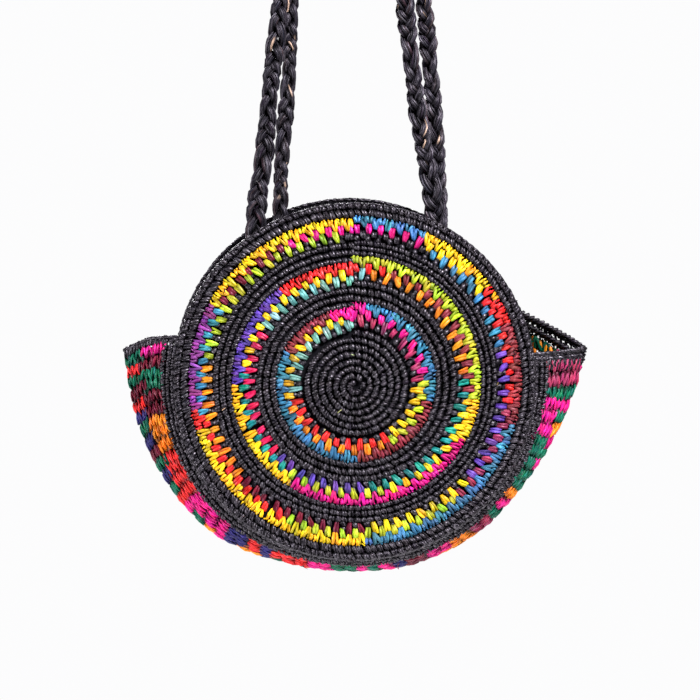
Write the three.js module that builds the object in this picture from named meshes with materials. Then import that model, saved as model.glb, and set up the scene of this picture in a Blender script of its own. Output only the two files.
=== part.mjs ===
// A round crocheted raffia shoulder bag, hanging from the top of its two braided handles.
// Two round panels, each edged by a joining round, are held apart by a gusset that runs
// under them from ear to ear. The gusset folds outwards, so its two free ends stand out
// at the sides as ears, and the bag is narrow at its mouth and deep at its base.
// Millimetres, +Z up, the front panel faces -Y, and +X is to the right of a viewer in front.
// The origin is the point on a hook that both handles hang from.
import * as THREE from "three";
import { mergeVertices } from "three/addons/utils/BufferGeometryUtils.js";

// Driving dimensions
const CENTRE_Z = -480; // middle of the front panel's spiral, below the hook
const WALL = 3; // thickness of the crochet
const GAP = 0.45; // clearance between neighbouring pieces
const RIM_RADIUS = 127; // middle of the joining round
const RIM_THICK = 5.2; // diameter of the joining round
const PANEL_RADIUS = RIM_RADIUS - RIM_THICK / 2 - GAP;
const PANEL_HEIGHT = 0.985; // a panel's height over its width
const OFF_CENTRE = 0.04; // share of its radius by which a round sits above the spiral's middle
const DOME = 8; // how far a panel bulges outwards at its middle
const HALF_DEPTH = 28; // from the middle plane to a rim, level with the spiral's middle
const LEAN = 0.142; // half depth lost for each millimetre of height
const SEAM_LEFT = 165; // front seam's left end, degrees counter-clockwise from +X
const SEAM_RIGHT = 370; // front seam's right end
const BACK_RISE = 4.5; // how much higher the back panel hangs
const BACK_ASIDE = -3.5; // how far it hangs to the side

// The gusset from its left free end to its right one, in equal shares of the front seam.
// back and apex are the angles of the back seam and of the fold in degrees, bulge is how far
// the fold stands out past the rims, and roundness is 1 for a sharp fold and 2 for a round one.
const GUSSET_SECTIONS = [
  { back: 176, apex: 171.8, bulge: 41.5, roundness: 1.15 },
  { back: 193.5, apex: 188.5, bulge: 33.5, roundness: 1.25 },
  { back: 211, apex: 208, bulge: 28.3, roundness: 1.45 },
  { back: 230, apex: 228, bulge: 24.5, roundness: 1.65 },
  { back: 249.5, apex: 248, bulge: 16, roundness: 1.9 },
  { back: 269.5, apex: 268.5, bulge: 12.4, roundness: 2 },
  { back: 290, apex: 289, bulge: 13.8, roundness: 2 },
  { back: 311, apex: 309.5, bulge: 15.3, roundness: 1.9 },
  { back: 333, apex: 329.5, bulge: 17.2, roundness: 1.7 },
  { back: 357, apex: 350, bulge: 27.2, roundness: 1.35 },
  { back: 382, apex: 369.6, bulge: 43.5, roundness: 1.15 },
];

// Handles: half sizes of the plait, of its sewn-in feet, and the beat of its lobes
const BRAID = { halfWidth: 6.4, halfDepth: 5.2, lobe: 0.9, pitch: 14 };
const FOOT = { length: 34, halfDepth: 3, blend: 26 };
const HANDLE_ROUTES = {
  handle_front: [
    [-71.5, -6.45, -388],
    [-71.5, -6.45, -371],
    [-69.8, -6.6, -350],
    [-66, -7, -312],
    [-61, -7, -266],
    [-54.5, -7, -212],
    [-47.5, -7, -155],
    [-40.5, -7, -95],
    [-32.5, -7, -42],
    [-20, -7, -8],
    [-4, -7, 6.4],
    [12, -7, -8],
    [22.5, -7, -42],
    [27.5, -7, -95],
    [31.5, -7, -150],
    [37, -7, -205],
    [43, -7, -268],
    [52, -6.6, -315],
    [58, -5.8, -345],
    [60.5, -5.55, -365],
    [60.5, -5.55, -382],
  ],
  handle_back: [
    [-53.5, 4.9, -373],
    [-53.9, 4.9, -355.5],
    [-53, 5.8, -334],
    [-51.5, 6.8, -305],
    [-49.1, 7, -265],
    [-47.2, 7, -208],
    [-45.5, 7, -150],
    [-42.5, 7, -95],
    [-36, 7, -46],
    [-22, 7, -8],
    [0, 7, 6.4],
    [22, 7, -8],
    [37, 7, -46],
    [43.5, 7, -95],
    [48, 7, -150],
    [52.5, 7, -208],
    [57.5, 7, -265],
    [59.5, 6.8, -305],
    [60, 6.3, -340],
    [60.2, 5.8, -362],
    [59.8, 5.8, -380],
  ],
};

// Facets
const PANEL_SEGMENTS = 44;
const PANEL_ROUNDS = 4;
const RIM_SIDES = 8;
const GUSSET_STEPS = { across: 12, along: 44 };
const BRAID_SIDES = 7;
const BRAID_STEP = 3.5;

const FRONT = -1;
const BACK = 1;
const radians = THREE.MathUtils.degToRad;
const lerp = THREE.MathUtils.lerp;
const smoothstep = THREE.MathUtils.smoothstep;

const raffiaBlack = new THREE.MeshStandardMaterial({ color: 0x1d1a20, roughness: 0.62, metalness: 0 });
const raffiaRounds = new THREE.MeshStandardMaterial({ color: 0x2a2430, roughness: 0.62, metalness: 0 });
const raffiaColours = new THREE.MeshStandardMaterial({ color: 0x9c2a55, roughness: 0.6, metalness: 0 });

// A closed mesh from a geometry whose every vertex is moved by place(x, y, z). Points that
// fall together are merged, triangles that collapse are dropped, and faces are turned out.
function bent(name, geometry, material, place) {
  geometry.deleteAttribute("normal");
  geometry.deleteAttribute("uv");
  const merged = mergeVertices(geometry, 1e-4);
  const position = merged.getAttribute("position");
  for (let i = 0; i < position.count; i++) {
    const moved = place(position.getX(i), position.getY(i), position.getZ(i));
    position.setXYZ(i, moved.x, moved.y, moved.z);
  }
  const corner = [new THREE.Vector3(), new THREE.Vector3(), new THREE.Vector3()];
  const index = [];
  let volume = 0;
  for (let i = 0; i < merged.index.count; i += 3) {
    const [a, b, c] = [0, 1, 2].map((k) => merged.index.getX(i + k));
    if (a === b || b === c || c === a) continue;
    index.push([a, b, c]);
    [a, b, c].forEach((v, k) => corner[k].fromBufferAttribute(position, v));
    volume += corner[0].dot(corner[1].clone().cross(corner[2]));
  }
  const facing = volume < 0 ? index.map(([a, b, c]) => [a, c, b]) : index;
  merged.setIndex(facing.flat());
  merged.computeVertexNormals();
  const mesh = new THREE.Mesh(merged, material);
  mesh.name = name;
  return mesh;
}

// A point of a panel's middle surface, moved out of it by lift
function panelPoint(radius, angle, side, lift = 0) {
  const rise = radius * (Math.sin(angle) * PANEL_HEIGHT + OFF_CENTRE);
  const dome = DOME * (1 - (radius / RIM_RADIUS) ** 2);
  const depth = HALF_DEPTH - LEAN * rise + dome + lift;
  const aside = side === BACK ? BACK_ASIDE : 0;
  const lifted = side === BACK ? BACK_RISE : 0;
  return new THREE.Vector3(radius * Math.cos(angle) + aside, side * depth, CENTRE_Z + rise + lifted);
}

// A round panel: a thin disc turned on a lathe, then domed, leaned and set in its place
function panel(name, side) {
  const radii = Array.from({ length: PANEL_ROUNDS + 1 }, (_, i) => (PANEL_RADIUS * i) / PANEL_ROUNDS);
  const inner = radii.map((r) => new THREE.Vector2(r, -WALL / 2));
  const outer = radii.map((r) => new THREE.Vector2(r, WALL / 2)).reverse();
  const disc = new THREE.LatheGeometry([...inner, ...outer], PANEL_SEGMENTS);
  return bent(name, disc, raffiaRounds, (x, y, z) => panelPoint(Math.hypot(x, z), Math.atan2(z, x), side, y));
}

// The joining round: a ring that follows a panel's edge
function rim(name, side) {
  const ring = new THREE.TorusGeometry(RIM_RADIUS, RIM_THICK / 2, RIM_SIDES, PANEL_SEGMENTS);
  return bent(name, ring, raffiaBlack, (x, y, z) => {
    const angle = Math.atan2(y, x);
    const out = Math.hypot(x, y) - RIM_RADIUS;
    const centre = panelPoint(RIM_RADIUS, angle, side);
    return centre.add(new THREE.Vector3(out * Math.cos(angle), side * z, out * Math.sin(angle)));
  });
}

const gussetCurve = new THREE.CubicInterpolant(
  GUSSET_SECTIONS.map((row, i) => i / (GUSSET_SECTIONS.length - 1)),
  GUSSET_SECTIONS.flatMap((row) => [row.back, row.apex, row.bulge, row.roundness]),
  4,
);

// A point of the gusset's middle surface. across runs from -1 at the front rim, over 0 at the
// fold, to 1 at the back rim, and share runs along the seam.
function gussetSurface(across, share) {
  const [back, apex, bulge, roundness] = gussetCurve.evaluate(share);
  const front = radians(lerp(SEAM_LEFT, SEAM_RIGHT, share));
  const frontRim = panelPoint(RIM_RADIUS, front, FRONT);
  const backRim = panelPoint(RIM_RADIUS, radians(back), BACK);
  const fold = panelPoint(RIM_RADIUS, radians(apex), FRONT).setY(0);
  fold.add(new THREE.Vector3(Math.cos(radians(apex)), 0, Math.sin(radians(apex))).multiplyScalar(bulge));
  const middle = frontRim.clone().lerp(backRim, 0.5);
  const outward = fold.sub(middle).multiplyScalar(1 - Math.abs(across) ** roundness);
  return frontRim.lerp(backRim, (across + 1) / 2).add(outward);
}

// The gusset: a flat strip, bent along the seams and folded outwards
function gusset() {
  const strip = new THREE.BoxGeometry(2, 1, WALL, GUSSET_STEPS.across, GUSSET_STEPS.along, 1);
  const nudge = 0.002;
  return bent("gusset", strip, raffiaColours, (x, y, z) => {
    const share = Math.min(1, Math.max(0, y + 0.5));
    const rimToFold = gussetSurface(-1, share).distanceTo(gussetSurface(0, share));
    const across = x * (1 - (RIM_THICK / 2 + GAP) / rimToFold);
    const at = gussetSurface(across, share);
    const alongStep = share > 0.5 ? -nudge : nudge;
    const along = gussetSurface(across, share + alongStep).sub(at).multiplyScalar(1 / alongStep);
    const width = gussetSurface(across + nudge, share).sub(gussetSurface(across - nudge, share));
    return at.add(along.cross(width).setLength(z));
  });
}

// A braided handle: a closed tube along its route, waved by the plait and flat at its feet
function handle(name) {
  const route = new THREE.CatmullRomCurve3(
    HANDLE_ROUTES[name].map((point) => new THREE.Vector3(...point)),
    false,
    "centripetal",
  );
  const length = route.getLength();
  const steps = Math.round(length / BRAID_STEP);
  const tube = new THREE.CylinderGeometry(1, 1, 1, BRAID_SIDES, steps, false);
  const depthAxis = new THREE.Vector3(0, 1, 0);
  return bent(name, tube, raffiaBlack, (x, y, z) => {
    const share = Math.min(1, Math.max(0, y + 0.5));
    const fromEnd = Math.min(share, 1 - share) * length;
    const full = smoothstep(fromEnd, FOOT.length, FOOT.length + FOOT.blend);
    const beat = (2 * Math.PI * share * length) / BRAID.pitch;
    const sway = full * BRAID.lobe * Math.cos(beat) * Math.abs(x);
    const swell = 1 + 0.1 * full * Math.cos(2 * beat);
    const widthAxis = route.getTangentAt(share).cross(depthAxis).normalize();
    const deep = lerp(FOOT.halfDepth, BRAID.halfDepth * swell, full) * z;
    return route
      .getPointAt(share)
      .addScaledVector(widthAxis, BRAID.halfWidth * x + sway)
      .addScaledVector(depthAxis, deep);
  });
}

const bag = new THREE.Group();
bag.add(panel("front_panel", FRONT), panel("back_panel", BACK));
bag.add(rim("front_rim", FRONT), rim("back_rim", BACK));
bag.add(gusset());
bag.add(...Object.keys(HANDLE_ROUTES).map(handle));

export default bag;
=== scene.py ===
# %% [markdown]
# # A round raffia bag
# The bag is crocheted from raffia: two round panels worked as spirals, a gusset of bright rows
# that folds outwards between them, and two plaited handles. Everything hangs from one hook at the
# origin. Raffia is a flat leaf fibre, so the bag is built the way it was made, strand by strand.
# Lengths in this lesson are millimetres, as on a ruler, and turn into metres in the meshes.

# %% Load the frame that the pieces are fitted to
import math
from collections import namedtuple

import bmesh
import bpy
import numpy as np
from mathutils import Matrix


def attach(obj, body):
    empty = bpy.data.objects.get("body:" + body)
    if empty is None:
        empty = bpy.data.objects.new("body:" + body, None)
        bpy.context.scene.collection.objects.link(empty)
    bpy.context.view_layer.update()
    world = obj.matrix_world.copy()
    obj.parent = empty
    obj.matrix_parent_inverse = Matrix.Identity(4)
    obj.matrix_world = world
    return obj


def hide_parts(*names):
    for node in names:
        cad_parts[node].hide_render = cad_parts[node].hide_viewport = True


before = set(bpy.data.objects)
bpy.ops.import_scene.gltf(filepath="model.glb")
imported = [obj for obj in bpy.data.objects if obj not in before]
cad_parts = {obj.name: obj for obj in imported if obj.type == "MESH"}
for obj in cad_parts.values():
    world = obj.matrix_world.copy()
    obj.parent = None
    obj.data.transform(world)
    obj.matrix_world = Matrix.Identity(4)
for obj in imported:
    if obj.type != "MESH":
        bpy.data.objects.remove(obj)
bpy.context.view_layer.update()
MM = 0.001
print("nodes to dress:", sorted(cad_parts))

# %% [markdown]
# ## The camera
# The picture looks straight at the front panel from about a metre and a half, with a long lens, so
# the bag's depth hardly shows. A level camera keeps the handles upright.

# %% Camera in front of the bag
EYE = (-0.0032, -1.5, -0.4539)


def show(name, data):
    """A new object in the scene."""
    thing = bpy.data.objects.new(name, data)
    bpy.context.scene.collection.objects.link(thing)
    return thing


camera_data = bpy.data.cameras.new("picture_camera")
camera_data.sensor_width = 36.0
camera_data.lens = 105.7
camera = show("picture_camera", camera_data)
camera.location = EYE
camera.rotation_euler = (math.pi / 2, 0.0, 0.0)
bpy.context.scene.camera = camera
bpy.context.scene.view_settings.view_transform = "Standard"
print("camera at", EYE)

# %% [markdown]
# ## The form that the stitches follow
# A crocheted panel is a shallow dome. Its outer rounds sit a little higher than the inner ones, and it
# leans towards the other panel at the mouth. It could be a mesh that a modifier covers with stitches,
# but a formula tells each stitch where it sits and which way it stands, so the form is a function.

# %% A panel's surface
CENTRE_Z = -480.0
RIM_RADIUS = 127.0
PANEL_HEIGHT = 0.985
OFF_CENTRE = 0.04
DOME = 8.0
HALF_DEPTH = 28.0
LEAN = 0.142
BACK_RISE = 4.5
BACK_ASIDE = -3.5
FRONT = -1.0
BACK = 1.0


def panel_point(radius, angle, side):
    """Points of a panel's middle surface, for angles in radians counter-clockwise from +X."""
    rise = radius * (np.sin(angle) * PANEL_HEIGHT + OFF_CENTRE)
    dome = DOME * (1.0 - (radius / RIM_RADIUS) ** 2)
    depth = HALF_DEPTH - LEAN * rise + dome
    behind = (side + 1.0) / 2.0
    across = radius * np.cos(angle) + BACK_ASIDE * behind
    return np.stack([across, side * depth, CENTRE_Z + rise + BACK_RISE * behind], axis=-1)


Spot = namedtuple("Spot", "at up aside face")


def unit(vectors):
    return vectors / np.linalg.norm(vectors, axis=-1, keepdims=True)


def on_panel(radius, angle, side):
    """Where stitches sit on a panel: up leads away from its middle, face out of the bag."""
    at = panel_point(radius, angle, side)
    up = unit(panel_point(radius + 0.1, angle, side) - panel_point(radius - 0.1, angle, side))
    aside = unit(panel_point(radius, angle + 0.001, side) - panel_point(radius, angle - 0.001, side))
    face = unit(np.cross(up, aside)) * -side
    return Spot(at, up, aside, face)


print("panel middle (mm):", panel_point(0.0, 0.0, FRONT))

# %% [markdown]
# ## The form of the gusset
# The gusset is one long strip sewn to both rims. It folds outwards along its middle, sharply at the
# ears, where nothing holds it, and softly under the bag. Eleven listed sections say where its back
# seam and fold are. A smooth curve through them needs fewer numbers than a mesh.

# %% The gusset's surface
SEAM_LEFT = 165.0
SEAM_RIGHT = 370.0
BACK_SEAM = [176.0, 193.5, 211.0, 230.0, 249.5, 269.5, 290.0, 311.0, 333.0, 357.0, 382.0]
FOLD = [171.8, 188.5, 208.0, 228.0, 248.0, 268.5, 289.0, 309.5, 329.5, 350.0, 369.6]
BULGE = [41.5, 33.5, 28.3, 24.5, 16.0, 12.4, 13.8, 15.3, 17.2, 27.2, 43.5]
ROUNDNESS = [1.15, 1.25, 1.45, 1.65, 1.9, 2.0, 2.0, 1.9, 1.7, 1.35, 1.15]


def smooth_through(values, share):
    """A cubic curve through evenly spaced values, natural at its ends."""
    values = np.asarray(values)
    slope = np.gradient(values)
    slope[0] = 1.5 * (values[1] - values[0]) - 0.5 * slope[1]
    slope[-1] = 1.5 * (values[-1] - values[-2]) - 0.5 * slope[-2]
    place = np.clip(share, 0.0, 1.0) * (len(values) - 1)
    left = np.minimum(place.astype(int), len(values) - 2)
    t = place - left
    start = (1 + 2 * t) * (1 - t) ** 2 * values[left] + t * (1 - t) ** 2 * slope[left]
    end = t * t * (3 - 2 * t) * values[left + 1] + t * t * (t - 1) * slope[left + 1]
    return start + end


def gusset_point(across, share):
    """across runs from -1 at the front rim, over 0 at the fold, to 1 at the back rim."""
    front = np.radians(SEAM_LEFT + (SEAM_RIGHT - SEAM_LEFT) * share)
    back = np.radians(smooth_through(BACK_SEAM, share))
    fold_angle = np.radians(smooth_through(FOLD, share))
    bulge = smooth_through(BULGE, share)
    front_rim = panel_point(RIM_RADIUS, front, FRONT)
    back_rim = panel_point(RIM_RADIUS, back, BACK)
    fold = panel_point(RIM_RADIUS, fold_angle, FRONT)
    fold[..., 1] = 0.0
    fold[..., 0] += bulge * np.cos(fold_angle)
    fold[..., 2] += bulge * np.sin(fold_angle)
    straight = front_rim + (back_rim - front_rim) * ((across + 1.0) / 2.0)[..., None]
    outward = (1.0 - np.abs(across) ** smooth_through(ROUNDNESS, share))[..., None]
    return straight + (fold - (front_rim + back_rim) / 2.0) * outward


def on_gusset(across, share):
    """Where stitches sit on the gusset: up runs along the strip, aside across it."""
    nudge = 0.002
    at = gusset_point(across, share)
    low = np.clip(share - nudge, 0.0, 1.0)
    high = np.clip(share + nudge, 0.0, 1.0)
    up = unit(gusset_point(across, high) - gusset_point(across, low))
    aside = unit(gusset_point(across + nudge, share) - gusset_point(across - nudge, share))
    face = unit(np.cross(aside, up))
    return Spot(at, up, unit(np.cross(up, face)), face)


ear_tips = gusset_point(np.zeros(2), np.array([0.0, 1.0]))
print("ear tips (mm):", np.round(ear_tips, 1).tolist())

# %% [markdown]
# ## One strand of raffia
# Every stitch is a leg or two of raffia, fat in the middle and tucked in at both ends. One such
# strand starts as a small sphere whose ends are drawn out. It has 24 faces, because it is copied
# thousands of times. Instances would also do, but joined copies keep each strand's own colour.

# %% The strand that is copied
STRAND_SIDES = 6
STRAND_STEP = 360.0 / STRAND_SIDES
HIDDEN_SIDE = 240.0
FULLNESS = 0.6
BLUNTNESS = 0.75


def strand_shape():
    """Points, faces and flat layout of a strand along Z, 1 in half length, width and depth."""
    shape = bmesh.new()
    bmesh.ops.create_uvsphere(shape, u_segments=STRAND_SIDES, v_segments=4, radius=1.0)
    for vert in shape.verts:
        ring = math.hypot(vert.co.x, vert.co.y)
        fuller = ring ** -FULLNESS if ring > 0.01 else 1.0
        vert.co.x *= fuller
        vert.co.y *= fuller
        vert.co.z = math.copysign(abs(vert.co.z) ** BLUNTNESS, vert.co.z)
    bmesh.ops.recalc_face_normals(shape, faces=shape.faces[:])
    shape.verts.index_update()
    points = np.array([vert.co[:] for vert in shape.verts])
    faces = sorted([vert.index for vert in face.verts] for face in shape.faces)
    flat = [strand_layout(points[face]) for face in faces]
    shape.free()
    return points, faces, np.concatenate(flat)


def strand_layout(corners):
    """Along and around each corner of a face, from 0 to 1, split on the strand's hidden side."""
    ring = np.hypot(corners[:, 0], corners[:, 1]) > 0.01
    turn = np.degrees(np.arctan2(corners[:, 1], corners[:, 0]))
    around = np.round((turn - HIDDEN_SIDE) % 360.0 / STRAND_STEP) % STRAND_SIDES / STRAND_SIDES
    if around[ring].max() > 0.5:
        around[ring & (around < 0.01)] = 1.0
    around[~ring] = around[ring].mean()
    return np.stack([(corners[:, 2] + 1.0) / 2.0, around], axis=1)


strand_points, strand_faces, strand_flat = strand_shape()
print("strand:", len(strand_points), "points,", len(strand_faces), "faces")

# %% [markdown]
# ## Dyes
# The raffia is dyed before it is worked. Most of the bag is black with a violet cast, and the rings
# and rows change colour every hand's breadth. The colours are given as they look on a screen and
# turned to the linear values that shaders count in.

# %% The dyes by name
DYES_ON_SCREEN = {
    "black": (16, 13, 19), "rusty_black": (40, 29, 30), "violet_black": (22, 19, 28),
    "yellow": (248, 196, 20), "lime": (174, 188, 38), "red": (230, 38, 36),
    "orange": (246, 134, 22), "magenta": (228, 22, 132), "cerise": (226, 30, 88),
    "teal": (14, 134, 124), "blue": (58, 120, 162), "sea_blue": (52, 134, 160),
    "pale_blue": (64, 120, 160), "aqua": (112, 170, 160), "purple": (90, 60, 158),
    "violet": (138, 58, 144), "maroon": (106, 18, 42), "brick": (134, 46, 54),
    "raspberry": (156, 46, 84), "green": (3, 102, 76), "navy": (40, 36, 102),
    "ochre": (190, 140, 24), "straw": (205, 172, 128), "tan": (186, 156, 136),
}
DYE_STRENGTH = 0.99
CAST = 0.12


def linear(screen):
    share = np.asarray(screen) / 255.0
    return np.where(share > 0.04045, ((share + 0.055) / 1.055) ** 2.4, share / 12.92)


DYES = {name: linear(screen) * DYE_STRENGTH for name, screen in DYES_ON_SCREEN.items()}


def dyed(names, chance, vary=0.16):
    """One colour for each name, with small differences in light and cast."""
    base = np.array([DYES[name] for name in names])
    light = 1.0 + vary * chance.uniform(-1.0, 1.0, (len(base), 1))
    return base * light * np.clip(chance.normal(1.0, CAST, base.shape), 0.6, 1.4)


print(len(DYES), "dyes")

# %% [markdown]
# ## Laying strands and joining them
# To lay strands is to say where each one sits, how it leans and how big it is. Joining turns the
# whole list into one mesh. Each strand keeps its colour in an attribute, with a fourth value of
# painted light that falls where it tucks under, as painted shade, a layout along and around itself
# for its fibres, and a cell of its own on a flat chart, so that its look can be baked.

# %% Lay strands and join them into a piece
CRUMPLE = 0.17
# How far a strand's tucked ends are darkened: painted shade.
TUCKED_SHADE = 0.8
CELL_MARGIN = 0.06
CELL_SHIFT = 3.7


def column(value, count):
    return np.broadcast_to(value, count)[:, None]


def lay(bundle, spot, dye, length, width, thick, lean=0.0, aside=0.0, lift=0.0, bow=0.0, taper=0.0):
    """Add a strand at every spot. lean turns it from up towards aside, taper widens its top."""
    count = len(spot.at)
    turn = np.radians(column(lean, count))
    axis = spot.up * np.cos(turn) + spot.aside * np.sin(turn)
    centre = spot.at + spot.aside * column(aside, count) + spot.face * column(lift, count)
    measures = (length, width, thick, bow, taper)
    sizes = np.stack([np.broadcast_to(measure, count) for measure in measures], axis=1)
    bundle.append((centre, axis, np.cross(spot.face, axis), spot.face, sizes, dye))


def strand_mesh(name, bundle):
    """One mesh of a bundle's strands, in metres."""
    centre, axis, cross, face, sizes, dye = (np.concatenate(part) for part in zip(*bundle))
    count = len(centre)
    x, y, z = strand_points.T[:, None, :, None]
    length, width, thick, bow, taper = sizes.T[:, :, None, None]
    wide = x * width / 2.0 * (1.0 + taper * z)
    points = centre[:, None] + axis[:, None] * (z * length / 2.0) + cross[:, None] * wide
    points = points + face[:, None] * (y * thick / 2.0 + bow * (1.0 - z * z))
    points = points + np.random.default_rng(count).normal(0.0, CRUMPLE, points.shape)
    corners = np.concatenate(strand_faces)
    starts = np.cumsum([0] + [len(one) for one in strand_faces[:-1]])
    shift = np.arange(count)[:, None]
    mesh = bpy.data.meshes.new(name)
    mesh.vertices.add(count * len(strand_points))
    mesh.vertices.foreach_set("co", (points * MM).ravel())
    mesh.loops.add(count * len(corners))
    mesh.loops.foreach_set("vertex_index", (corners + shift * len(strand_points)).ravel())
    mesh.polygons.add(count * len(strand_faces))
    mesh.polygons.foreach_set("loop_start", (starts + shift * len(corners)).ravel())
    mesh.update(calc_edges=True)
    # Painted shade: colour and shine fall towards each strand's tucked ends.
    painted_light = np.tile(1.0 - TUCKED_SHADE * np.abs(strand_points[:, 2]) ** 4, count)
    each_point = np.column_stack([np.repeat(dye, len(strand_points), axis=0), painted_light])
    mark_strands(mesh, each_point, np.tile(strand_flat, (count, 1)), len(corners))
    return mesh


def mark_strands(mesh, dye, flat, corners_each, long=1.0):
    """Write dyes, the fibre layout and a bake chart. A dye's fourth value is painted light, low where
    shade is painted.
    """
    colour = mesh.attributes.new("dye", "FLOAT_COLOR", "POINT")
    colour.data.foreach_set("color", dye.ravel())
    cell = np.arange(len(flat)) // corners_each
    across = math.ceil(math.sqrt(cell[-1] + 1))
    inset = CELL_MARGIN + (1.0 - 2.0 * CELL_MARGIN) * flat
    chart = (inset + np.stack([cell % across, cell // across], axis=1)) / across
    fibre = np.stack([flat[:, 0] * long + CELL_SHIFT * cell, flat[:, 1]], axis=1)
    mesh.uv_layers.new(name="OFBake").uv.foreach_set("vector", chart.ravel())
    mesh.uv_layers.new(name="Fibre").uv.foreach_set("vector", fibre.ravel())
    mesh.shade_smooth()


def finish_piece(name, mesh, material, node):
    """Show a mesh as a piece that stands for a solid of the frame."""
    mesh.materials.clear()
    mesh.materials.append(material)
    piece = show(name, mesh)
    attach(piece, "root")
    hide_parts(node)
    triangles = sum(len(face.vertices) - 2 for face in mesh.polygons)
    print(name, "has", triangles, "triangles")


print("each strand has", len(strand_flat), "corners")

# %% [markdown]
# ## What raffia looks like
# Raffia is a satin leaf: streaks run along each strand, lighter and darker, and its shine breaks up
# on them. A streak is noise that is stretched along the strand, read from the fibre layout. It sets
# the colour, the roughness and a small bump. A painted image could do this too, but noise stays sharp
# in every view. Black strands shine more than bright ones. Tucked ends and plait creases get painted
# shade: the dye's fourth value darkens their colour and dulls their shine.

# %% The raffia material
VIOLET_TINT = (0.94, 0.84, 1.0, 1.0)
BRIGHT_SHINE = 0.24


def add(tree, kind, **values):
    """A new node of a shader tree, with some of its inputs set."""
    node = tree.nodes.new("ShaderNode" + kind)
    for name, value in values.items():
        node.inputs[name].default_value = value
    return node


def link(start, end):
    start.id_data.links.new(start, end)


def times(first, second):
    """The product of two outputs."""
    node = add(first.id_data, "Math")
    node.operation = "MULTIPLY"
    link(first, node.inputs[0])
    link(second, node.inputs[1])
    return node.outputs["Value"]


def ranged(value, limits, results):
    """An output turned from one range to another."""
    names = ("From Min", "From Max", "To Min", "To Max")
    node = add(value.id_data, "MapRange", **dict(zip(names, limits + results)))
    link(value, node.inputs["Value"])
    return node.outputs["Result"]


def streaks(tree):
    """Noise stretched along each strand."""
    layout = add(tree, "UVMap")
    layout.uv_map = "Fibre"
    stretch = add(tree, "Mapping", Scale=(1.6, 6.5, 1.0))
    noise = add(tree, "TexNoise", Scale=1.0, Detail=4.0, Roughness=0.6)
    link(layout.outputs["UV"], stretch.inputs["Vector"])
    link(stretch.outputs["Vector"], noise.inputs["Vector"])
    return noise.outputs["Fac"]


def raffia(name, black_shine, dull, smooth):
    """Dyed raffia. black_shine is for dark strands, dull and smooth are its roughness."""
    material = bpy.data.materials.new(name)
    material.use_nodes = True
    tree = material.node_tree
    shader = tree.nodes["Principled BSDF"]
    shader.inputs["Specular Tint"].default_value = VIOLET_TINT
    streak = streaks(tree)
    dye = add(tree, "Attribute")
    dye.attribute_name = "dye"
    # The dye's fourth value is painted shade: it darkens the colour and the shine of tucked ends and
    # creases.
    painted_light = dye.outputs["Alpha"]
    fade = ranged(streak, (0.34, 0.66), (0.4, 1.42))
    tone = add(tree, "VectorMath")
    tone.operation = "SCALE"
    link(dye.outputs["Color"], tone.inputs[0])
    link(times(fade, painted_light), tone.inputs["Scale"])
    link(tone.outputs["Vector"], shader.inputs["Base Color"])
    colourful = add(tree, "SeparateColor")
    colourful.mode = "HSV"
    link(dye.outputs["Color"], colourful.inputs["Color"])
    shine = ranged(colourful.outputs[1], (0.5, 0.6), (black_shine, BRIGHT_SHINE))
    glint = ranged(streak, (0.42, 0.62), (0.2, 2.5))
    sheen = times(times(shine, glint), painted_light)
    link(sheen, shader.inputs["Specular IOR Level"])
    gloss = ranged(streak, (0.3, 0.7), (dull, smooth))
    link(gloss, shader.inputs["Roughness"])
    bump = add(tree, "Bump", Strength=0.8, Distance=0.0005)
    link(streak, bump.inputs["Height"])
    link(bump.outputs["Normal"], shader.inputs["Normal"])
    return material


stitch_raffia = raffia("stitch_raffia", black_shine=0.6, dull=0.6, smooth=0.39)
plait_raffia = raffia("plait_raffia", black_shine=0.48, dull=0.72, smooth=0.46)
print("materials:", stitch_raffia.name, plait_raffia.name)

# %% [markdown]
# ## Black rounds
# Most of a panel is plain crochet, worked round and round in one spiral. A stitch shows two fibres
# that lean side by side, and a shorter leg between stitches that lies lower and leans the other way.
# Their ends tuck under, so each round stands up like a rope with a dark groove beside it. A bump on
# a smooth panel could show such rounds from afar, but its outline would stay smooth.

# %% A round of black stitches
STITCH = 4.6
STITCH_HEIGHT = 5.4
LEGS = [(-0.6, 2.9, 0.0), (1.2, 1.8, -0.3)]
LEG_LENGTH = 5.2
LEG_THICK = 2.9


def stitches(bundle, spot, chance, tall=1.0):
    """Plain black stitches, each a little off its place as in hand work."""
    count = len(spot.at)
    black = ["black"] * count
    lean = chance.normal(26.0, 9.0, count)
    level = chance.uniform(-0.1, 0.7, count)
    for aside, width, rise in LEGS:
        long = chance.normal(LEG_LENGTH, 0.4, count) * tall
        broad = width * chance.normal(1.0, 0.12, count)
        own_lean = lean + chance.normal(0.0, 7.0, count)
        lay(bundle, spot, dyed(black, chance, 0.5), long, broad, LEG_THICK, own_lean,
            aside, lift=level + rise, bow=0.9)
    low_lean = chance.normal(-30.0, 8.0, count)
    lay(bundle, spot, dyed(black, chance, 0.5), 3.6 * tall, 2.0, 2.0, low_lean,
        aside=STITCH / 2.0, lift=-1.0, bow=0.3)


def loose_ends(bundle, spot, names, chance):
    """Thin ends of raffia that stick out this way and that."""
    count = len(spot.at)
    turn = chance.uniform(0.0, math.tau, (count, 1))
    level = spot.up * np.cos(turn) + spot.aside * np.sin(turn)
    up = unit(level + spot.face * chance.uniform(0.1, 0.8, (count, 1)))
    aside = unit(np.cross(up, spot.face))
    end = Spot(spot.at + spot.face * 2.2 + up * 1.5, up, aside, np.cross(aside, up))
    lay(bundle, end, dyed(names, chance, 0.4), chance.uniform(2.5, 6.0, count), 0.5, 0.4, bow=0.7)


def grown(start, end, angle):
    """A spiral's radius: start at twelve o'clock, end after one turn counter-clockwise."""
    turned = (np.degrees(angle) - 90.0) / 360.0
    return start + (end - start) * turned


def round_angles(count, chance):
    loose = chance.normal(0.0, 0.06, count)
    return math.pi / 2 + math.tau * (np.arange(count) + 0.5 + loose) / count


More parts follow.
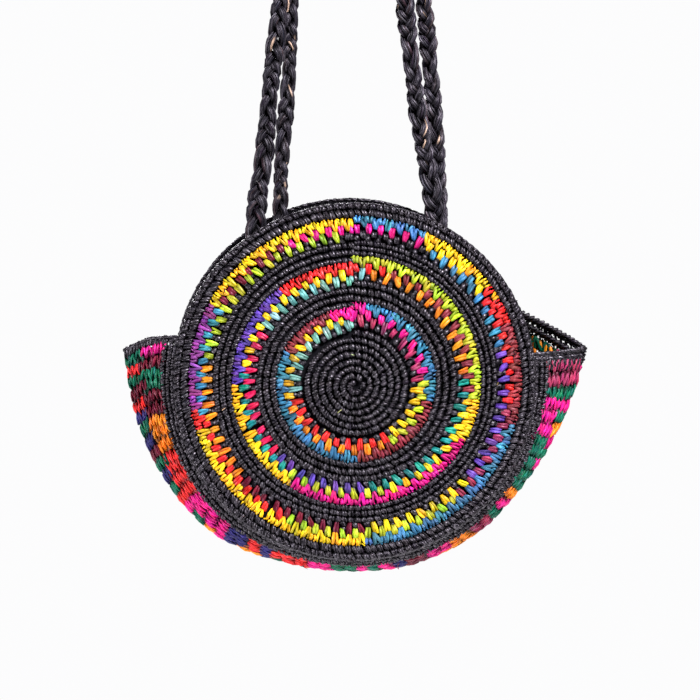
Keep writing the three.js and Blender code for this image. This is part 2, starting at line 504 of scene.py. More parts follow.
def black_round(bundle, spiral, pitch, side, chance):
    """One turn of plain stitches. spiral and pitch are its radius and height, from start to end."""
    count = max(6, round(math.pi * sum(spiral) / STITCH))
    angle = round_angles(count, chance)
    radius = np.maximum(grown(*spiral, angle) + chance.normal(0.0, 0.15, count), 1.5)
    stitches(bundle, on_panel(radius, angle, side), chance, grown(*pitch, angle) / STITCH_HEIGHT)


print("a stitch is", STITCH, "mm wide")

# %% [markdown]
# ## Bright rings
# Three rings of taller stitches break the black. In each, one dye hangs down as long tongues, another
# shows between them, and a third stands below as teeth, with black in the gaps. A texture could hold
# the pattern, but laid strands shade each other, and a chart gives each row its own run of dyes round
# the clock. A slip stitch closes each ring at twelve o'clock.

# %% The rings' dyes, clockwise from twelve o'clock in degrees
RINGS = [
    {
        "inner": (37.4, 41.4),
        "units": 32,
        "teeth": "0 raspberry, 88 yellow, 154 red, 261 aqua",
        "middle": "88 lime, 156 orange, 261 ochre, 294 yellow, 352 magenta",
        "tongues": "6 blue, 103 brick, 180 blue, 296 brick, 345 magenta",
    },
    {
        "inner": (68.9, 74.3),
        "units": 54,
        "teeth": "3 orange, 81 teal, 171 purple, 233 cerise, 300 aqua",
        "middle": "15 brick, 97 yellow, 169 lime, 218 teal, 281 yellow, 358 red",
        "tongues": "0 lime, 96 yellow, 125 magenta, 212 yellow, 268 purple, 321 red",
    },
    {
        "inner": (100.8, 102.4),
        "units": 74,
        "teeth": "30 blue, 75 purple, 129 yellow, 178 maroon, 227 orange, 277 lime, 354 black",
        "middle": "28 yellow, 52 blue, 60 red, 102 raspberry, 141 lime, 201 red, 256 sea_blue, "
                  "297 maroon, 333 magenta",
        "tongues": "0 blue, 29 yellow, 58 red, 70 brick, 105 pale_blue, 178 yellow, 251 red, "
                   "262 violet, 298 yellow",
    },
]
CLOCK_DRIFT = 3.0


def by_clock(chart, angle, turn, chance):
    """The dye of each stitch. In a chart, a dye starts at its degree and runs to the next."""
    arcs = [arc.split() for arc in chart.split(", ")]
    drift = chance.normal(0.0, CLOCK_DRIFT, len(angle))
    hour = (90.0 - np.degrees(angle) + turn + drift) % 360.0
    arc = np.searchsorted([float(start) for start, _ in arcs], hour, side="right") - 1
    return [arcs[i][1] for i in arc]


print("stitches in the rings:", [ring["units"] for ring in RINGS])

# %% A bright ring
Row = namedtuple("Row", "height length width apart spread lift")
TEETH = Row(4.6, 10.0, 2.5, 0.9, 4.0, 0.4)
MIDDLE = Row(8.6, 8.6, 2.6, 0.95, 4.5, 0.5)
TONGUES = Row(12.4, 9.4, 2.5, 1.2, 11.0, 0.9)
SADDLES = Row(14.6, 5.4, 2.5, 1.4, 14.0, 0.7)
BLACK_TOOTH = 6.0
TUFTS = 16.3
PAIR_THICK = 2.2
SLIP_STITCH = [("teeth", 3.6, 6.0), ("middle", 8.2, 7.0), ("tongues", 13.0, 8.0)]


def pair(bundle, spot, dye, form, chance):
    """Two strands side by side that spread at the top."""
    count = len(spot.at)
    lean = chance.normal(8.0, 9.0, count)
    long = form.length * chance.normal(1.0, 0.1, count)
    for hand in (-1.0, 1.0):
        broad = form.width * chance.normal(1.0, 0.12, count)
        shade = chance.uniform(0.5, 1.25, (count, 1))
        own_lean = lean + hand * form.spread + chance.normal(0.0, 3.0, count)
        lay(bundle, spot, dye * shade, long, broad, PAIR_THICK, own_lean,
            aside=hand * form.apart, lift=form.lift, bow=0.9, taper=0.12)


def bright_ring(bundle, ring, side, turn, chance):
    """Teeth, middle, tongues and the saddles between them, with black behind."""
    units = ring["units"]
    angle = round_angles(units, chance)
    half = angle + math.pi / units

    def row(height, at_angle):
        loose = chance.normal(0.0, 0.25, units)
        return on_panel(grown(*ring["inner"], at_angle) + height + loose, at_angle, side)

    tooth_names = by_clock(ring["teeth"], angle, turn, chance)
    teeth = dyed(tooth_names, chance)
    middle = dyed(by_clock(ring["middle"], half, turn, chance), chance)
    tongues = dyed(by_clock(ring["tongues"], angle, turn, chance), chance)
    saddles = dyed(by_clock(ring["tongues"], half, turn, chance), chance)
    black = dyed(["black"] * units, chance, 0.35)
    is_black = np.array(tooth_names) == "black"
    tooth = TEETH._replace(length=np.where(is_black, BLACK_TOOTH, TEETH.length))
    pair(bundle, row(TEETH.height, angle), teeth, tooth, chance)
    lay(bundle, row(1.4, half), black, 5.2, 4.0, 2.8, chance.normal(30.0, 9.0, units), bow=0.6)
    lay(bundle, row(5.4, half), black, 5.0, 3.8, 2.4, chance.normal(14.0, 9.0, units),
        lift=-0.4, bow=0.4)
    pair(bundle, row(MIDDLE.height, half), middle, MIDDLE, chance)
    pair(bundle, row(TONGUES.height, angle), tongues, TONGUES, chance)
    pair(bundle, row(SADDLES.height, half), saddles, SADDLES, chance)
    for at_angle, dye in ((angle, tongues), (half, saddles)):
        for aside in (-1.7, 1.2):
            slant = chance.normal(0.0, 22.0, units)
            long = chance.uniform(1.6, 4.8, units)
            lay(bundle, row(TUFTS, at_angle), dye, long, 1.2, 1.2, slant, aside, 0.7, 0.3)


def slip_stitch(bundle, ring, side, turn, chance):
    """The stitch that closes a ring at twelve o'clock, one strand in each row."""
    angle = np.full(1, math.pi / 2 + 0.5 * math.pi / ring["units"])
    for row, height, long in SLIP_STITCH:
        spot = on_panel(sum(ring["inner"]) / 2.0 + height, angle, side)
        dye = dyed(by_clock(ring[row], angle, turn, chance), chance)
        lay(bundle, spot, dye, long, 3.0, PAIR_THICK, 8.0, lift=0.4, bow=0.9)


print("a tooth is", TEETH.length, "mm long")

# %% [markdown]
# ## A panel
# A panel is its black rounds and bright rings, over a thin web that stands for the strands' hidden
# runs, so that no light comes through between them. Its dark, dull colour is partly painted shade in
# the gaps. The web is a disc, cut into rings and then set on the form. On its inner side lie the backs
# of the stitches, one broad strand each. The back panel repeats the front's rings, turned on a third
# of the clock.

# %% The web behind the stitches
WEB_DEPTH = 1.8
WEB_STEPS = 72


def disc(name, reach, rounds, thick):
    """A flat disc of mesh rings, in millimetres."""
    shape = bmesh.new()
    start = shape.verts.new((0.0, 0.0, 0.0))
    end = shape.verts.new((reach, 0.0, 0.0))
    spoke = shape.edges.new((start, end))
    bmesh.ops.subdivide_edges(shape, edges=[spoke], cuts=rounds - 1)
    bmesh.ops.spin(shape, geom=shape.verts[:] + shape.edges[:], angle=math.tau, steps=WEB_STEPS,
                   axis=(0.0, 0.0, 1.0), cent=(0.0, 0.0, 0.0), use_merge=True)
    bmesh.ops.remove_doubles(shape, verts=shape.verts[:], dist=0.01)
    bmesh.ops.solidify(shape, geom=shape.faces[:], thickness=thick)
    bmesh.ops.recalc_face_normals(shape, faces=shape.faces[:])
    mesh = bpy.data.meshes.new(name)
    shape.to_mesh(mesh)
    shape.free()
    return mesh


def panel_web(name, side, reach):
    """A thin dark disc behind the stitches, partly painted shade, laid on the panel's form."""
    mesh = disc(name, reach, rounds=12, thick=1.0)
    flat = np.empty((len(mesh.vertices), 3))
    mesh.vertices.foreach_get("co", flat.ravel())
    points = panel_point(np.hypot(flat[:, 0], flat[:, 1]), np.arctan2(flat[:, 1], flat[:, 0]), side)
    points[:, 1] -= side * (WEB_DEPTH + np.abs(flat[:, 2]))
    mesh.vertices.foreach_set("co", (points * MM).ravel())
    mesh.update()
    return mesh


def mottled(name, scale, dark, light, roughness, shine):
    """A dull material with soft patches, dark and light."""
    material = bpy.data.materials.new(name)
    material.use_nodes = True
    tree = material.node_tree
    shader = tree.nodes["Principled BSDF"]
    shader.inputs["Roughness"].default_value = roughness
    shader.inputs["Specular IOR Level"].default_value = shine
    place = add(tree, "TexCoord")
    mottle = add(tree, "TexNoise", Scale=scale)
    shade = add(tree, "ValToRGB")
    shade.color_ramp.elements[0].color = (*dark, 1.0)
    shade.color_ramp.elements[1].color = (*light, 1.0)
    link(place.outputs["Object"], mottle.inputs["Vector"])
    link(mottle.outputs["Fac"], shade.inputs["Fac"])
    link(shade.outputs["Color"], shader.inputs["Base Color"])
    return material


# The webs' near-black, dull colour is partly the black strands' hidden runs and partly painted shade
# in the gaps.
web_black_shade = mottled("web_raffia_shade", 400.0, (0.002, 0.002, 0.003), (0.008, 0.007, 0.01), 0.9, 0.05)
print("web material:", web_black_shade.name)

# %% The backs of the stitches
CENTRE_PITCH = 5.05
INSIDE_ROUNDS = 25
INSIDE_STITCH = 7.2
INSIDE_ROWS = [("teeth", 1.0, 6.5), ("middle", 6.5, 10.5), ("tongues", 10.5, 17.5)]


def inside_dyes(radius, angle, turn, chance):
    """The dyes of a round's backs, from its radius."""
    names = np.full(len(angle), "black", dtype=object)
    for ring in RINGS:
        height = radius - grown(*ring["inner"], angle)
        for row, low, high in INSIDE_ROWS:
            here = (height >= low) & (height < high)
            names[here] = by_clock(ring[row], angle[here], turn, chance)
    return dyed(names, chance)


def panel_inside(bundle, side, turn, chance):
    """The backs of the stitches, on the web's inner side."""
    for i in range(INSIDE_ROUNDS):
        radius = CENTRE_PITCH * (i + 0.6)
        angle = round_angles(max(5, round(math.tau * radius / INSIDE_STITCH)), chance)
        spot = on_panel(radius, angle, side)
        back = spot._replace(at=spot.at - spot.face * (WEB_DEPTH + 1.8), face=-spot.face)
        lean = chance.normal(12.0, 8.0, len(angle))
        dye = inside_dyes(radius, angle, turn, chance)
        lay(bundle, back, dye, 5.8, INSIDE_STITCH, 1.8, lean, bow=0.3)


print("rounds on the inside:", INSIDE_ROUNDS)

# %% Both panels
CENTRE_ROUNDS = 7
BLACK_BANDS = [
    ((54.2, 58.2), (69.4, 74.8), 3),
    ((85.8, 91.2), (101.2, 102.8), 3),
    ((117.6, 119.2), (125.6, 125.6), 1),
]
PANEL_ENDS = ["straw"] * 10 + ["black"] * 50


def stitched(node, bundle):
    """The piece of a solid's strands."""
    finish_piece(node + "_stitches", strand_mesh(node, bundle), stitch_raffia, node)


def black_band(bundle, inner, outer, rounds, side, chance):
    """Rounds that share the room between the spirals inner and outer."""
    inner = np.array(inner)
    pitch = (np.array(outer) - inner) / rounds
    for i in range(rounds):
        black_round(bundle, inner + pitch * (i + 0.5), pitch, side, chance)


def panel(name, side, turn, reach, seed):
    """A panel's three pieces. turn shifts its dyes round the clock, reach is its web's radius."""
    chance = np.random.default_rng(seed)
    bundle = []
    for i in range(CENTRE_ROUNDS):
        spiral = (CENTRE_PITCH * (i + 0.4), CENTRE_PITCH * (i + 1.4))
        black_round(bundle, spiral, (CENTRE_PITCH, CENTRE_PITCH), side, chance)
    for inner, outer, rounds in BLACK_BANDS:
        black_band(bundle, inner, outer, rounds, side, chance)
    for ring in RINGS:
        bright_ring(bundle, ring, side, turn, chance)
    ends = len(PANEL_ENDS)
    radius = chance.uniform(20.0, RIM_RADIUS - 2.0, ends)
    spot = on_panel(radius, chance.uniform(0.0, math.tau, ends), side)
    loose_ends(bundle, spot, PANEL_ENDS, chance)
    for ring in RINGS:
        slip_stitch(bundle, ring, side, turn, chance)
    stitched(name, bundle)
    finish_piece(name + "_web", panel_web(name, side, reach), web_black_shade, name)
    backs = []
    panel_inside(backs, side, turn, chance)
    mesh = strand_mesh(name + "_inside", backs)
    finish_piece(name + "_inside", mesh, stitch_raffia, name)


panel("front_panel", FRONT, turn=0.0, reach=RIM_RADIUS - 0.5, seed=11)
panel("back_panel", BACK, turn=120.0, reach=RIM_RADIUS + 0.5, seed=12)

# %% [markdown]
# ## Rims
# Where a panel meets the gusset, a round of black stitches joins them, and a chain stitch along the
# edge finishes it. A twisted tube could stand for it, but a chain laid as plies of short strands has
# the same fibres as its neighbours. The back rim is two thin chains with short posts between them.

# %% Rims
RIM_STITCHES = 154
RIM_ENDS = ["black"] * 50


def chain(bundle, spot, chance, width, out, turns, lean_by=25.0):
    """A chain along aside, of plies that are turned round the spots by their degrees."""
    count = len(spot.at)
    black = ["black"] * count
    for turn in np.radians(turns):
        face = spot.up * math.cos(turn) + spot.face * math.sin(turn)
        around = spot.face * math.cos(turn) - spot.up * math.sin(turn)
        ply = Spot(spot.at + face * out, spot.aside, around, face)
        lean = chance.normal(lean_by, 6.0, count)
        lay(bundle, ply, dyed(black, chance, 0.5), 7.4, width, 2.4, lean, bow=0.3)


def rim_spots(radius, side, chance):
    return on_panel(radius, round_angles(RIM_STITCHES, chance), side)


def front_rim(seed):
    chance = np.random.default_rng(seed)
    bundle = []
    chain(bundle, rim_spots(RIM_RADIUS + 0.6, FRONT, chance), chance, 2.6, 1.2, (-60.0, 20.0, 180.0))
    edge = rim_spots(RIM_RADIUS, FRONT, chance)
    stitches(bundle, edge._replace(at=edge.at + edge.face * 0.8), chance, 0.95)
    angle = chance.uniform(0.0, math.tau, len(RIM_ENDS))
    loose_ends(bundle, on_panel(RIM_RADIUS, angle, FRONT), RIM_ENDS, chance)
    stitched("front_rim", bundle)


def back_rim(seed):
    chance = np.random.default_rng(seed)
    bundle = []
    for radius in (RIM_RADIUS + 1.4, RIM_RADIUS - 3.4):
        chain(bundle, rim_spots(radius, BACK, chance), chance, 2.0, 0.7, (70.0, 190.0, 310.0), 9.0)
    post = rim_spots(RIM_RADIUS - 1.4, BACK, chance)
    lean = chance.normal(12.0, 6.0, RIM_STITCHES)
    lay(bundle, post, dyed(["black"] * RIM_STITCHES, chance, 0.5), 5.4, 2.2, 2.2, lean, bow=0.4)
    stitched("back_rim", bundle)


front_rim(seed=21)
back_rim(seed=22)

# %% [markdown]
# ## The gusset
# The gusset is worked across in tall stitches, each row in a dye of its own. An image could hold the
# rows, but a chart of letters is easier to read. Long strands run along the strip, with a second layer
# between them that is darkened as painted shade in the gaps, and a third layer and a dark web lie
# below the front half; the web's dark colour is painted shade too. Black borders follow both seams and
# chains finish the ends. The right ear's back half ends in two chains, and light comes through
# between the posts that join them.

# %% The gusset's chart, from the left ear, under the bag, to the right ear
LETTERS = {
    "K": "black", "G": "green", "M": "magenta", "R": "red", "D": "maroon", "O": "orange",
    "N": "navy", "P": "raspberry",
}
CHART = {
    "front": "KMDGGDDOOORRRRMMMMNNRNRRRMMGGMGMNDDMMOOPPGMOGGGGGMMMGPPK",
    "fold": "KGRGDRNGNDGNGRMGOMNOONGRRMMGGMGMNDDOOOOPPGMOGGMGMOGMGPPK",
    "back_fold": "KGRGDRNGNDGNGRMGOMNOONGRRMMGGMGMNDDOOOOPPGMOGGMGMOGMGGMM",
    "back": "KRGMDGNROGMRDNGMRODGMNRGOMDRGNPMGODRGMNROGDMRGPNMRGOOOGG",
}
ROWS = len(CHART["front"])
TRIM_ACROSS = [-1.0, -0.85, -0.5, 0.0, 1.0]
LEFT_TRIM = [0.016, 0.004, 0.0, 0.009, 0.0]
RIGHT_TRIM = [0.012, 0.012, 0.012, 0.012, 0.0]


def strip_share(across, place):
    """A place along the strip from 0 to 1, between ends that are not quite straight."""
    left = np.interp(across, TRIM_ACROSS, LEFT_TRIM)
    right = np.interp(across, TRIM_ACROSS, RIGHT_TRIM)
    return left + place * (1.0 - left - right)


def gusset_dyes(across, row):
    """A strand's dye from its place across the strip and its row."""
    columns = np.select([across < -0.34, across < 0.0, across < 0.4], [0, 1, 2], 3)
    strips = list(CHART.values())
    return [LETTERS[strips[c][r]] for c, r in zip(columns, row)]


print("rows on the gusset:", ROWS)

# %% Layers of long strands
FRONT_BORDER = -0.74
BACK_BORDER = 0.9
EDGE = 0.95
Layer = namedtuple("Layer", "strands cover lift shade behind reach")
# A layer's shade scales its dyes down on the front half: the second layer's 0.22 is painted shade in
# the gaps between the top strands. On the back half every layer takes BACK_SHADE.
LAYERS = [
    Layer(40, 0.82, 0.5, 1.0, 0.0, BACK_BORDER),
    Layer(24, 0.9, -0.8, 0.22, 0.4, BACK_BORDER),
    Layer(24, 0.95, -3.4, 0.8, 0.2, 0.0),
]
BACK_SHADE = 0.8


def gusset_layer(bundle, layer, chance):
    """Strands as far across as reach. cover is width over spacing, behind a shift in rows."""
    count = layer.strands
    across, row = np.meshgrid((np.arange(count) + 0.5) / count * 2.0 - 1.0, np.arange(ROWS))
    across = across * EDGE
    inside = (across > FRONT_BORDER) & (across < layer.reach)
    across = across[inside]
    row = row[inside]
    total = len(row)
    names = gusset_dyes(across + chance.normal(0.0, 0.05, total), row)
    wave = 0.15 * np.sin(5.0 * across + 1.7 * row)
    place = (row - 0.15 + layer.behind + wave + chance.normal(0.0, 0.08, total)) / (ROWS - 1.1)
    share = strip_share(across, np.clip(place, 0.002, np.where(across < 0.0, 0.986, 0.97)))
    spot = on_gusset(across + chance.normal(0.0, 0.008, total), share)
    ahead = gusset_point(across, np.minimum(share + 0.01, 1.0)) - gusset_point(across, share - 0.01)
    pitch = np.linalg.norm(ahead, axis=1) / 0.02 / ROWS
    beside = gusset_point(across + 0.01, share) - gusset_point(across - 0.01, share)
    spacing = np.linalg.norm(beside, axis=1) / 0.02 * 2.0 * EDGE / count
    lean = np.where(np.arange(total) % 2, 13.0, -13.0) + chance.normal(0.0, 6.0, total)
    # Painted shade: on the front half, the second layer's dyes are darkened so the gaps between the
    # top strands look dark.
    shade = np.where(across < 0.0, layer.shade, BACK_SHADE)[:, None]
    dye = dyed(names, chance, 0.3) * shade
    lift = layer.lift + chance.normal(0.0, 0.25, total)
    lay(bundle, spot, dye, pitch * 1.12, spacing * layer.cover, 2.0, lean, lift=lift, bow=0.8)


print("layers:", len(LAYERS))

# %% Borders and ends
BORDER_ROUNDS = (-0.93, -0.84, -0.75, 0.94)
BORDER_STITCHES = 108
CHAIN_STITCHES = 36
END_CHAINS = [(0.0, -0.97, 0.97), (1.0, -0.97, 0.97), (0.992, -0.97, 0.0), (0.986, 0.0, 0.97)]
END_POSTS = 13


def gusset_border(bundle, across, chance):
    """A round of plain stitches along a seam."""
    across = across + chance.normal(0.0, 0.006, BORDER_STITCHES)
    place = (np.arange(BORDER_STITCHES) + 0.5) / BORDER_STITCHES
    along = on_gusset(across, strip_share(across, place))
    stitches(bundle, along._replace(up=along.aside, aside=along.up), chance, 0.85)


def gusset_end(bundle, place, start, stop, chance):
    """A chain that finishes an end of the strip, across it from start to stop."""
    count = round(CHAIN_STITCHES * (stop - start) / 2.0)
    across = np.linspace(start, stop, count)
    end = on_gusset(across, strip_share(across, place))
    outward = end.up if place > 0.5 else -end.up
    edge = Spot(end.at + outward * 0.5, outward, end.aside, end.face)
    chain(bundle, edge, chance, 2.6, 1.1, (50.0, -50.0, 180.0), 7.0)


def end_posts(bundle, chance):
    """Short posts between the two chains of the right ear's back half."""
    across = np.linspace(0.06, 0.95, END_POSTS)
    spot = on_gusset(across, strip_share(across, 0.993))
    lean = chance.normal(12.0, 8.0, END_POSTS)
    lay(bundle, spot, dyed(["black"] * END_POSTS, chance, 0.5), 7.0, 1.8, 1.8, lean)


print("chains at the ends:", len(END_CHAINS))

# %% The gusset
GUSSET_WEB_DEPTH = 1.9
GUSSET_ENDS = ["black"] * 8 + ["maroon"] * 6


def gusset_web():
    """A thin dark web under the strip's front half, which stops the light between stitches and is
    painted shade there.
    """
    web = bmesh.new()
    bmesh.ops.create_grid(web, x_segments=8, y_segments=60, size=0.5)
    for vert in web.verts:
        across = np.array(-0.48 + 0.94 * vert.co.x)
        share = strip_share(across, np.array(0.5 + 0.98 * vert.co.y))
        spot = on_gusset(across, share)
        vert.co = (spot.at - spot.face * GUSSET_WEB_DEPTH) * MM
    bmesh.ops.recalc_face_normals(web, faces=web.faces[:])
    bmesh.ops.solidify(web, geom=web.faces[:], thickness=0.6 * MM)
    mesh = bpy.data.meshes.new("gusset_web")
    web.to_mesh(mesh)
    web.free()
    return mesh


def gusset(seed):
    chance = np.random.default_rng(seed)
    bundle = []
    for layer in LAYERS:
        gusset_layer(bundle, layer, chance)
    for across in BORDER_ROUNDS:
        gusset_border(bundle, across, chance)
    for place, start, stop in END_CHAINS:
        gusset_end(bundle, place, start, stop, chance)
    end_posts(bundle, chance)
    ends = len(GUSSET_ENDS)
    stray = on_gusset(chance.uniform(-0.9, -0.4, ends), chance.uniform(0.02, 0.98, ends))
    loose_ends(bundle, stray, GUSSET_ENDS, chance)
    stitched("gusset", bundle)
    finish_piece("gusset_web", gusset_web(), web_black_shade, "gusset")


gusset(seed=31)

# %% [markdown]
# ## Handles
# Each handle is a plait of three strands, which cross over each other in a figure of eight. A tube
# with a bump would look like a hose, so each strand is a core with thirteen fibre bundles, and every
# bundle is a curve that winds round its strand. Fibres near the plait's middle and the cores are
# darkened as painted shade in the creases. The feet lie flat on the panels' inner sides.

# %% Routes of the handles
HANDLE_ROUTES = {
    "handle_front": [
        (-71.5, -6.45, -388), (-71.8, -6.45, -371), (-71.2, -6.6, -350), (-65.6, -7, -312),
        (-61.2, -7, -266), (-55, -7, -212), (-48, -7, -155), (-40.5, -7, -95), (-32.5, -7, -42),
        (-20, -7, -8), (-4, -7, 6.4), (12, -7, -8), (22.5, -7, -42), (27.5, -7, -95),
        (31.5, -7, -150), (37.2, -7, -205), (44.2, -7, -268), (51.6, -6.6, -315),
        (57.8, -5.8, -345), (60.5, -5.55, -365), (60.5, -5.55, -382),
    ],
    "handle_back": [
        (-54, 4.9, -373), (-54.2, 4.9, -355.5), (-54.2, 5.8, -334), (-52.9, 6.8, -305),
        (-48.8, 7, -265), (-47, 7, -208), (-45.2, 7, -150), (-42.5, 7, -95), (-36, 7, -46),
        (-22, 7, -8), (0, 7, 6.4), (22, 7, -8), (37, 7, -46), (43.5, 7, -95), (47.8, 7, -150),
        (52, 7, -208), (57.3, 7, -265), (59.9, 6.8, -305), (61.9, 6.3, -340), (61.5, 5.8, -362),
        (60.6, 5.8, -380),
    ],
}


def smooth_route(route, step):
    """Even points along a smooth curve through a route."""
    p = np.array(route, dtype=float)
    p = np.vstack([2.0 * p[0] - p[1], p, 2.0 * p[-1] - p[-2]])
    gap = np.linalg.norm(np.diff(p, axis=0), axis=1)[:, None] ** 0.5
    dense = []
    t = np.linspace(0.0, 1.0, 30, endpoint=False)[:, None]
    for i in range(1, len(p) - 2):
        chord = (p[i + 1] - p[i]) / gap[i]
        before = (p[i] - p[i - 1]) / gap[i - 1]
        after = (p[i + 2] - p[i + 1]) / gap[i + 1]
        leave = (before - (p[i + 1] - p[i - 1]) / (gap[i - 1] + gap[i]) + chord) * gap[i]
        arrive = (chord - (p[i + 2] - p[i]) / (gap[i] + gap[i + 1]) + after) * gap[i]
        bend = (1 + 2 * t) * (1 - t) ** 2 * p[i] + t * (1 - t) ** 2 * leave
        dense.append(bend + t * t * (3 - 2 * t) * p[i + 1] + t * t * (t - 1) * arrive)
    dense = np.vstack(dense + [p[-2][None]])
    run = np.concatenate([[0.0], np.cumsum(np.linalg.norm(np.diff(dense, axis=0), axis=1))])
    even = np.linspace(0.0, run[-1], round(run[-1] / step) + 1)
    return even, np.stack([np.interp(even, run, dense[:, k]) for k in range(3)], axis=1)


print("handles:", list(HANDLE_ROUTES))

# %% Paths of the fibre bundles
PLAIT_STEP = 3.6
PLAIT_PERIOD = 37.0
SWAY = 3.8
DIP = 3.1
FIBRES = 13
FIBRE_WIDE = 2.1
FIBRE_DEEP = 1.6
FIBRE_TURN = 300.0
# How far out from a plait's middle its fibres stay darkened: painted shade in the creases.
CREASE_SHADE_WIDE = 5.6
CREASE_SHADE_DEEP = 4.6
SEWN_LENGTH = 18.0
SEWN_SLOPE = 0.11
SWELL_AT = 42.0
SWELL_REACH = 30.0


def plait_paths(route, girth, foot, chance):
    """The path of every bundle of a plait, and its painted light, with shade painted near its middle.
    foot swells it above its ends.
    """
    run, path = smooth_route(route, PLAIT_STEP)
    deep = np.array([0.0, 1.0, 0.0])
    wide = unit(np.cross(np.gradient(path, axis=0), deep))
    from_end = np.minimum(run, run[-1] - run)
    path[:, 1] += np.sign(path[0, 1]) * SEWN_SLOPE * np.clip(SEWN_LENGTH - from_end, 0.0, None)
    full = (0.45 + 0.55 * np.clip((from_end - 20.0) / 40.0, 0.0, 1.0))[:, None]
    loose = 0.07 * np.sin(run / 19.0 + chance.uniform(0.0, 6.0)) + 0.06 * np.sin(run / 7.3)
    swell = foot * np.exp(-((from_end - SWELL_AT) / SWELL_REACH) ** 2)
    fat = (np.linspace(*girth, len(run)) + swell + 0.08 * np.sin(run / 11.0))[:, None]
    paths = []
    for strand in range(3):
        beat = math.tau * (run / PLAIT_PERIOD + strand / 3.0 + loose)[:, None]
        core = path + wide * fat * SWAY * np.sin(beat) + deep * full * DIP * np.sin(2.0 * beat)
        core_wide = unit(np.cross(np.gradient(core, axis=0), deep))
        paths.append(core)
        for fibre in range(FIBRES):
            turn = math.tau * (fibre / FIBRES + run / FIBRE_TURN)[:, None]
            turn = turn + chance.uniform(-0.4, 0.4)
            out = fat * chance.uniform(0.85, 1.2) * (1.0 - 0.1 * np.cos(4.0 * beat))
            wind = core_wide * FIBRE_WIDE * out * np.cos(turn)
            wind = wind + deep * FIBRE_DEEP * full * out * np.sin(turn)
            stray = 0.4 * np.sin(run / chance.uniform(3.0, 6.0) + chance.uniform(0.0, 6.0))[:, None]
            paths.append(core + wind + stray * (core_wide + deep))
    # Painted shade: the cores and the fibres near the plait's middle get darker colour and less shine.
    offset = (np.array(paths) - path) / fat
    aside = np.sum(offset * wide, axis=2) / CREASE_SHADE_WIDE
    reach = np.hypot(aside, offset[..., 1] / CREASE_SHADE_DEEP / full[:, 0])
    return paths, np.clip((reach - 0.5) / 0.35, 0.08, 1.0)


print("bundles in a plait:", 3 * FIBRES)

# %% Plait the handles
CORE = 2.9
FIBRE_RADIUS = 0.64
FIBRE_SIDES = 6
STREAK_LENGTH = 12.0
PALE_SHARE = 0.012
PLAIT_FEET = {"handle_front": 0.2, "handle_back": 0.0}
PLAIT_GIRTH = {"handle_front": (1.02, 1.02), "handle_back": (0.88, 1.04)}
PLAIT_SEED = 41


def fibre_mesh(name, paths, chance):
    """Tubes along the paths, from a bevelled curve whose ends are drawn to a point."""
    curve = bpy.data.curves.new(name, "CURVE")
    curve.dimensions = "3D"
    curve.bevel_depth = FIBRE_RADIUS * MM
    curve.bevel_resolution = 1
    for i, path in enumerate(paths):
        spline = curve.splines.new("POLY")
        spline.points.add(len(path) - 1)
        spline.points.foreach_set("co", np.column_stack([path * MM, np.ones(len(path))]).ravel())
        mean = CORE if i % (FIBRES + 1) == 0 else chance.uniform(0.75, 1.35)
        thickness = mean + 0.2 * np.sin(np.arange(len(path)) / 2.0 + chance.uniform(0.0, 6.0))
        thickness[[0, -1]] = 0.01
        spline.points.foreach_set("radius", thickness)
    maker = show(name + "_curve", curve)
    mesh = bpy.data.meshes.new_from_object(maker.evaluated_get(bpy.context.evaluated_depsgraph_get()))
    bpy.data.objects.remove(maker)
    bpy.data.curves.remove(curve)
    mesh.uv_layers.remove(mesh.uv_layers[0])
    return mesh


def mark_fibres(mesh, painted_light, chance):
    """Write the dyes, painted shade and layouts of a plait, tube after tube."""
    tubes, rings = painted_light.shape
    corners = np.empty(len(mesh.loops), dtype=int)
    mesh.loops.foreach_get("vertex_index", corners)
    side = (corners % FIBRE_SIDES).reshape(-1, 4)
    over_seam = (side.max(axis=1) == FIBRE_SIDES - 1) & (side.min(axis=1) == 0)
    side = np.where(over_seam[:, None] & (side == 0), FIBRE_SIDES, side)
    along = corners // FIBRE_SIDES % rings / (rings - 1)
    flat = np.stack([along, side.ravel() / FIBRE_SIDES], axis=1)
    names = chance.choice(["violet_black", "rusty_black"], tubes, p=[0.85, 0.15])
    pale = np.repeat(chance.random((tubes, rings // 3 + 1)) < PALE_SHARE, 3, axis=1)[:, :rings]
    dye = np.where(pale[..., None], DYES["tan"], dyed(names, chance, 0.35)[:, None])
    dye = np.concatenate([dye, painted_light[..., None]], axis=2).reshape(-1, 4)
    corners_each = (rings - 1) * FIBRE_SIDES * 4
    long = PLAIT_STEP * rings / STREAK_LENGTH
    mark_strands(mesh, np.repeat(dye, FIBRE_SIDES, axis=0), flat, corners_each, long)


def close_ends(mesh):
    """Merge each tube's pinched ends into a point."""
    tubes = bmesh.new()
    tubes.from_mesh(mesh)
    bmesh.ops.remove_doubles(tubes, verts=tubes.verts[:], dist=0.03 * MM)
    bmesh.ops.recalc_face_normals(tubes, faces=tubes.faces[:])
    tubes.to_mesh(mesh)
    tubes.free()


for seed, (name, route) in enumerate(HANDLE_ROUTES.items()):
    chance = np.random.default_rng(PLAIT_SEED + seed)
    paths, painted_light = plait_paths(route, PLAIT_GIRTH[name], PLAIT_FEET[name], chance)
    mesh = fibre_mesh(name, paths, chance)
    mark_fibres(mesh, painted_light, chance)
    close_ends(mesh)
    finish_piece(name + "_plait", mesh, plait_raffia, name)

# %% [markdown]
# ## Floor and light
# The bag hangs against a plain white ground that only the camera sees, well above the floor. A lamp
# high on the right gives the strands their shine, a weaker one fills the shadows from the left, one
# stands behind the bag, and a dim room does the rest.

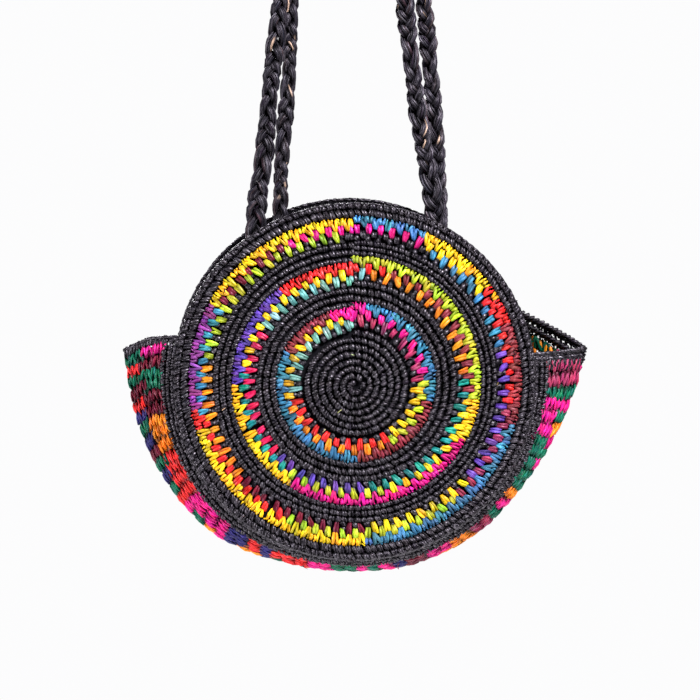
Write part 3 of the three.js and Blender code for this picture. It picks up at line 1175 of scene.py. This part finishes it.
# %% Floor
FLOOR_Z = -0.9
floor_shape = bmesh.new()
bmesh.ops.create_grid(floor_shape, x_segments=2, y_segments=2, size=0.95)
bmesh.ops.translate(floor_shape, verts=floor_shape.verts[:], vec=(0.0, 0.0, FLOOR_Z))
floor_mesh = bpy.data.meshes.new("floor")
floor_shape.to_mesh(floor_mesh)
floor_shape.free()
floor_grey = mottled("pale_floor", 6.0, (0.78, 0.78, 0.78), (0.84, 0.84, 0.84), 0.8, 0.5)
floor_mesh.materials.append(floor_grey)
floor = show("floor", floor_mesh)
print("floor at", FLOOR_Z)

# %% Light


def pale_surround():
    """A white ground that only the camera sees, and a dim room that lights the bag."""
    world = bpy.data.worlds.new("pale_surround")
    world.use_nodes = True
    tree = world.node_tree
    room = tree.nodes["Background"]
    room.inputs["Color"].default_value = (0.95, 0.97, 1.0, 1.0)
    room.inputs["Strength"].default_value = 0.08
    ground = add(tree, "Background", Color=(0.975, 0.975, 0.98, 1.0))
    seen = add(tree, "LightPath")
    both = add(tree, "MixShader")
    link(seen.outputs["Is Camera Ray"], both.inputs["Fac"])
    link(room.outputs["Background"], both.inputs[1])
    link(ground.outputs["Background"], both.inputs[2])
    link(both.outputs["Shader"], tree.nodes["World Output"].inputs["Surface"])
    return world


bpy.context.scene.world = pale_surround()


def lamp(name, place, aim, size, power):
    """A square lamp that points at aim."""
    data = bpy.data.lights.new(name, "AREA")
    data.size = size
    data.energy = power
    light = show(name, data)
    light.location = place
    direction = np.subtract(aim, place)
    across = math.hypot(direction[0], direction[1])
    tilt = math.atan2(across, -direction[2])
    light.rotation_euler = (tilt, 0.0, math.atan2(-direction[0], direction[1]))


BAG_MIDDLE = (0.0, 0.0, -0.45)
lamp("key", (0.85, -0.95, 0.85), BAG_MIDDLE, 0.4, 94.0)
lamp("fill", (-1.3, -0.4, -0.5), BAG_MIDDLE, 0.5, 18.0)
lamp("back", (-0.6, 1.4, 0.7), BAG_MIDDLE, 0.6, 40.0)
print("lamps:", [light.name for light in bpy.data.lights])
